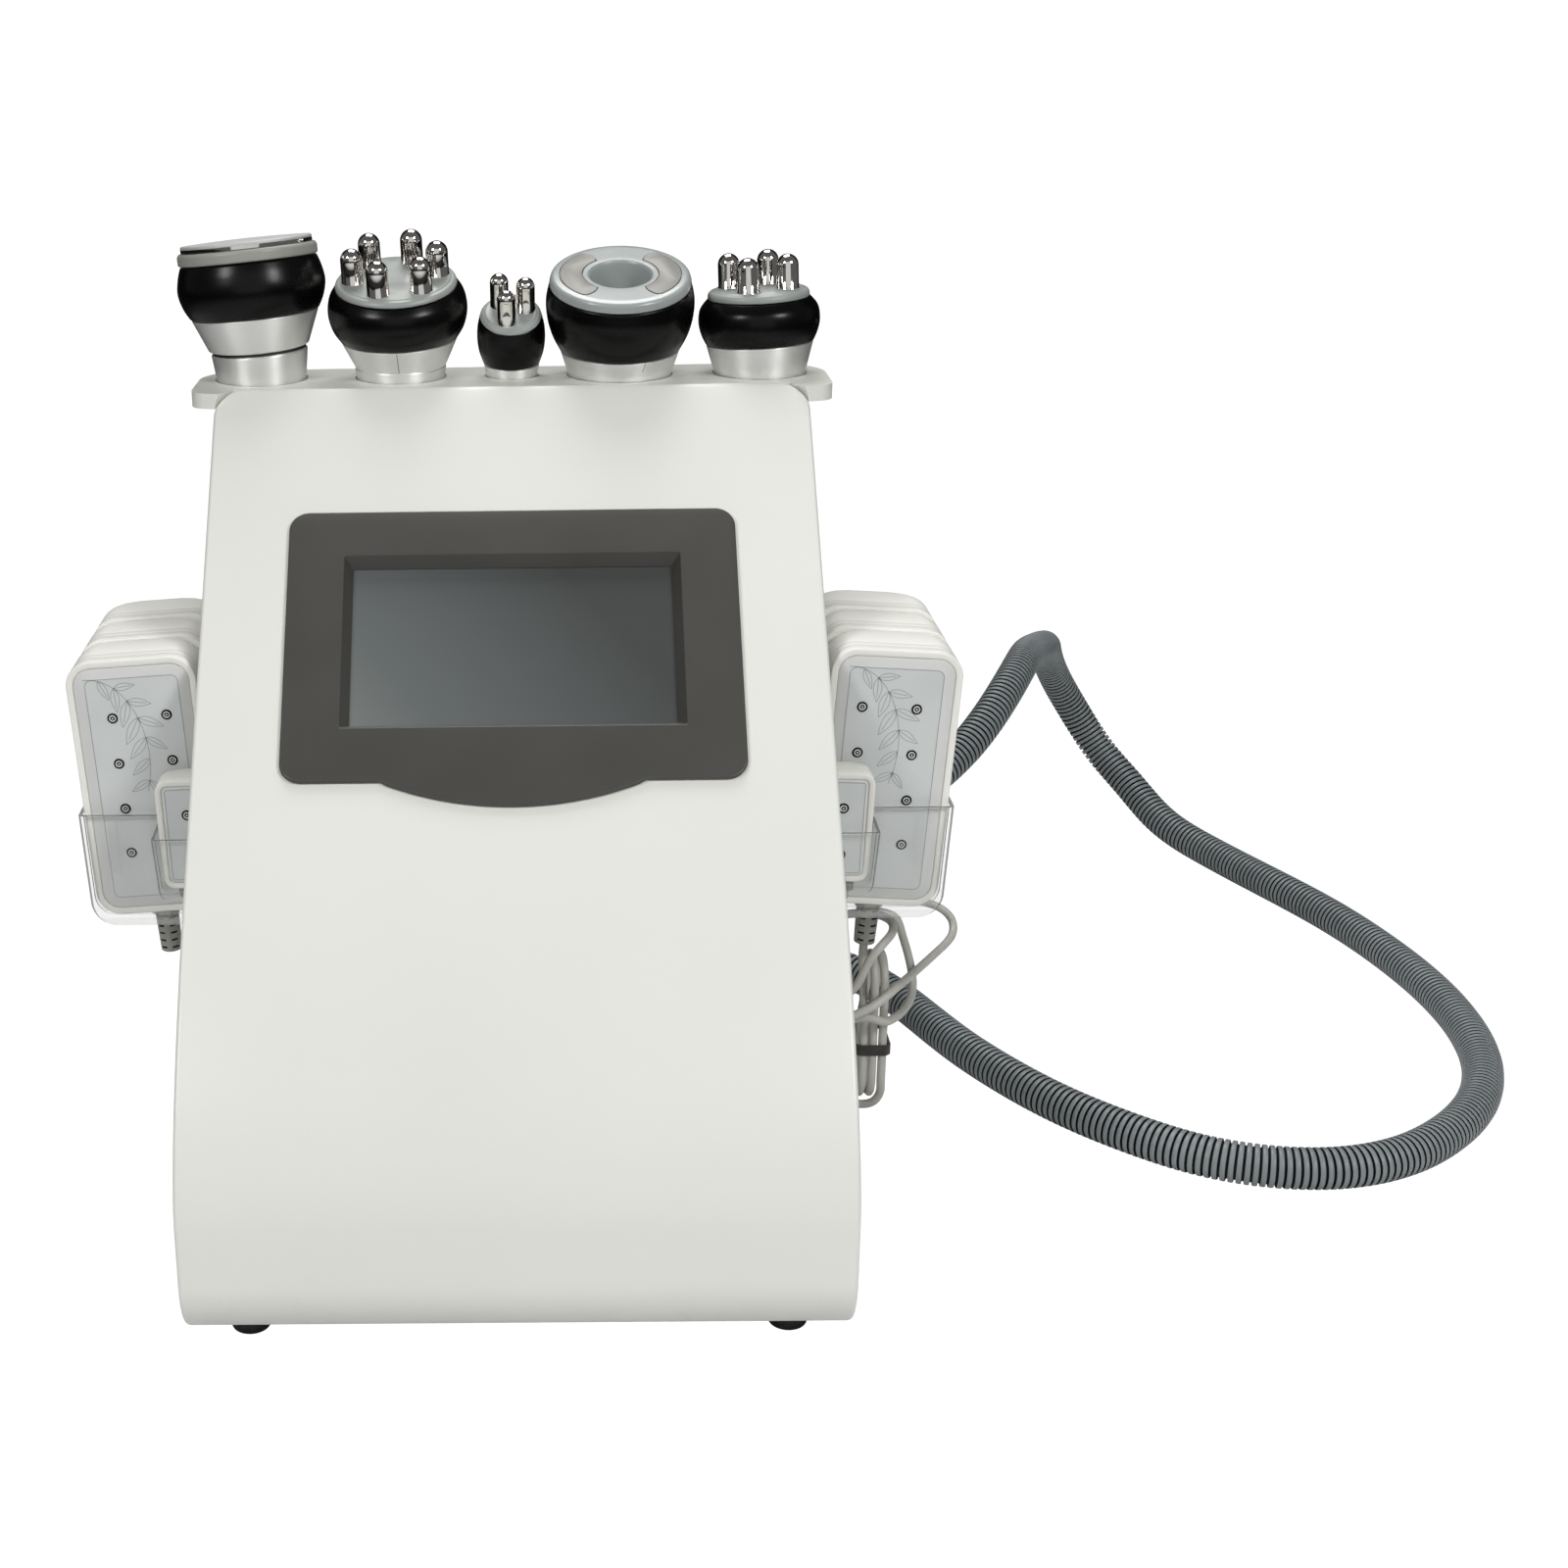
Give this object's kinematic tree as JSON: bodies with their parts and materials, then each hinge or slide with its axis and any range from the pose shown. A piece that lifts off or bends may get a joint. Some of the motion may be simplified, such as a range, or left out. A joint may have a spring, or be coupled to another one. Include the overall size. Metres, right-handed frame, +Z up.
{
  "type": "body slimming machine",
  "caption": "Desk-top slimming machine: sloped housing with touch screen, handpieces on a rear shelf, light pads in side pockets and a ribbed vacuum hose.",
  "frame": {"origin": "on the floor under the middle of the machine, measured without its hose and leads", "axes": "+Z up, the screen's side faces -Y, +X to the right when one faces the screen"},
  "size_m": [0.7628, 0.6942, 0.4618],
  "materials": {
    "shell_white": "satin moulded ABS",
    "panel_white": "fine textured moulding",
    "case_white": "warm white moulded case",
    "rubber_black": "black rubber",
    "black_plastic": "black moulded plastic",
    "band_black": "piano black",
    "bezel_gray": "dark grey moulded frame",
    "screen_glass": "dark display, switched off",
    "handle_silver": "satin silver lacquer on plastic",
    "chrome": "polished chrome",
    "brushed_steel": "brushed steel",
    "face_gray": "pale translucent plastic",
    "clear_plastic": "clear acrylic",
    "hose_gray": "flexible ribbed plastic",
    "lead_gray": "grey cable sheath",
    "board_green": "circuit board",
    "steel_case": "folded sheet"
  },
  "bodies": {
    "machine": {"front_panel": "shell_white", "side_panel_left": "panel_white", "side_panel_right": "panel_white", "rear_panel": "panel_white", "base_plate": "panel_white", "foot_front_left": "rubber_black", "foot_front_right": "rubber_black", "foot_rear_left": "rubber_black", "foot_rear_right": "rubber_black", "screen_bezel": "bezel_gray", "touch_screen": "screen_glass", "power_supply": "steel_case", "ultrasound_driver": "board_green", "vacuum_pump": "steel_case", "fan_frame": "black_plastic", "power_inlet": "black_plastic", "hose_port": "black_plastic", "handpiece_tray": "shell_white", "pocket_left": "clear_plastic", "pocket_right": "clear_plastic", "small_pocket_left": "clear_plastic", "small_pocket_right": "clear_plastic", "vacuum_hose": "hose_gray", "pad_lead_rear": "lead_gray", "pad_lead_middle": "lead_gray", "pad_lead_small": "lead_gray", "pad_lead_front": "lead_gray", "pad_lead_front_hank": "lead_gray", "pad_lead_front_end": "lead_gray"},
    "fan": {"fan_rotor": "black_plastic"},
    "rocker": {"power_rocker": "black_plastic"},
    "cavitation_head": {"cavitation_handle": "handle_silver", "cavitation_band": "band_black", "cavitation_ring": "face_gray", "cavitation_plate": "brushed_steel"},
    "six_pole_head": {"six_pole_handle": "handle_silver", "six_pole_band": "band_black", "six_pole_plate": "face_gray", "six_pole_electrodes": "chrome"},
    "three_pole_head": {"three_pole_handle": "handle_silver", "three_pole_band": "band_black", "three_pole_plate": "face_gray", "three_pole_electrodes": "chrome"},
    "vacuum_head": {"vacuum_handle": "handle_silver", "vacuum_band": "band_black", "vacuum_cup": "face_gray", "vacuum_electrode_left": "brushed_steel", "vacuum_electrode_right": "brushed_steel"},
    "four_pole_head": {"four_pole_handle": "handle_silver", "four_pole_band": "band_black", "four_pole_plate": "face_gray", "four_pole_electrodes": "chrome"},
    "light_pad_left_front": {"light_pad_left_front": "case_white"},
    "light_pad_left_middle": {"light_pad_left_middle": "case_white"},
    "light_pad_left_rear": {"light_pad_left_rear": "case_white"},
    "light_pad_left_small": {"light_pad_left_small": "case_white"},
    "light_pad_right_front": {"light_pad_right_front": "case_white"},
    "light_pad_right_middle": {"light_pad_right_middle": "case_white"},
    "light_pad_right_rear": {"light_pad_right_rear": "case_white"},
    "light_pad_right_small": {"light_pad_right_small": "case_white"}
  },
  "joints": [
    {"name": "fan_spin", "type": "hinge", "parent": "machine", "child": "fan", "pos_m": [-0.062, 0.0989, 0.15], "axis": [0, 1, 0], "continuous": true},
    {"name": "power_rocker_tilt", "type": "hinge", "parent": "machine", "child": "rocker", "pos_m": [0.075, 0.1121, 0.168], "axis": [1, 0, 0], "range_deg": [-20, 0]},
    {"name": "cavitation_lift", "type": "slide", "parent": "machine", "child": "cavitation_head", "axis": [0, 0, 1], "range_m": [0, 0.165]},
    {"name": "six_pole_lift", "type": "slide", "parent": "machine", "child": "six_pole_head", "axis": [0, 0, 1], "range_m": [0, 0.165]},
    {"name": "three_pole_lift", "type": "slide", "parent": "machine", "child": "three_pole_head", "axis": [0, 0, 1], "range_m": [0, 0.165]},
    {"name": "vacuum_lift", "type": "slide", "parent": "machine", "child": "vacuum_head", "axis": [0, 0, 1], "range_m": [0, 0.165]},
    {"name": "four_pole_lift", "type": "slide", "parent": "machine", "child": "four_pole_head", "axis": [0, 0, 1], "range_m": [0, 0.165]},
    {"name": "light_pad_left_front_lift", "type": "slide", "parent": "machine", "child": "light_pad_left_front", "axis": [-0.0637, 0, 0.998], "range_m": [0, 0.085]},
    {"name": "light_pad_left_middle_lift", "type": "slide", "parent": "machine", "child": "light_pad_left_middle", "axis": [-0.0637, 0, 0.998], "range_m": [0, 0.085]},
    {"name": "light_pad_left_rear_lift", "type": "slide", "parent": "machine", "child": "light_pad_left_rear", "axis": [-0.0637, 0, 0.998], "range_m": [0, 0.085]},
    {"name": "light_pad_left_small_lift", "type": "slide", "parent": "machine", "child": "light_pad_left_small", "axis": [-0.0349, 0, 0.9994], "range_m": [0, 0.03]},
    {"name": "light_pad_right_front_lift", "type": "slide", "parent": "machine", "child": "light_pad_right_front", "axis": [0.0637, 0, 0.998], "range_m": [0, 0.085]},
    {"name": "light_pad_right_middle_lift", "type": "slide", "parent": "machine", "child": "light_pad_right_middle", "axis": [0.0637, 0, 0.998], "range_m": [0, 0.085]},
    {"name": "light_pad_right_rear_lift", "type": "slide", "parent": "machine", "child": "light_pad_right_rear", "axis": [0.0637, 0, 0.998], "range_m": [0, 0.085]},
    {"name": "light_pad_right_small_lift", "type": "slide", "parent": "machine", "child": "light_pad_right_small", "axis": [0.0349, 0, 0.9994], "range_m": [0, 0.03]}
  ]
}
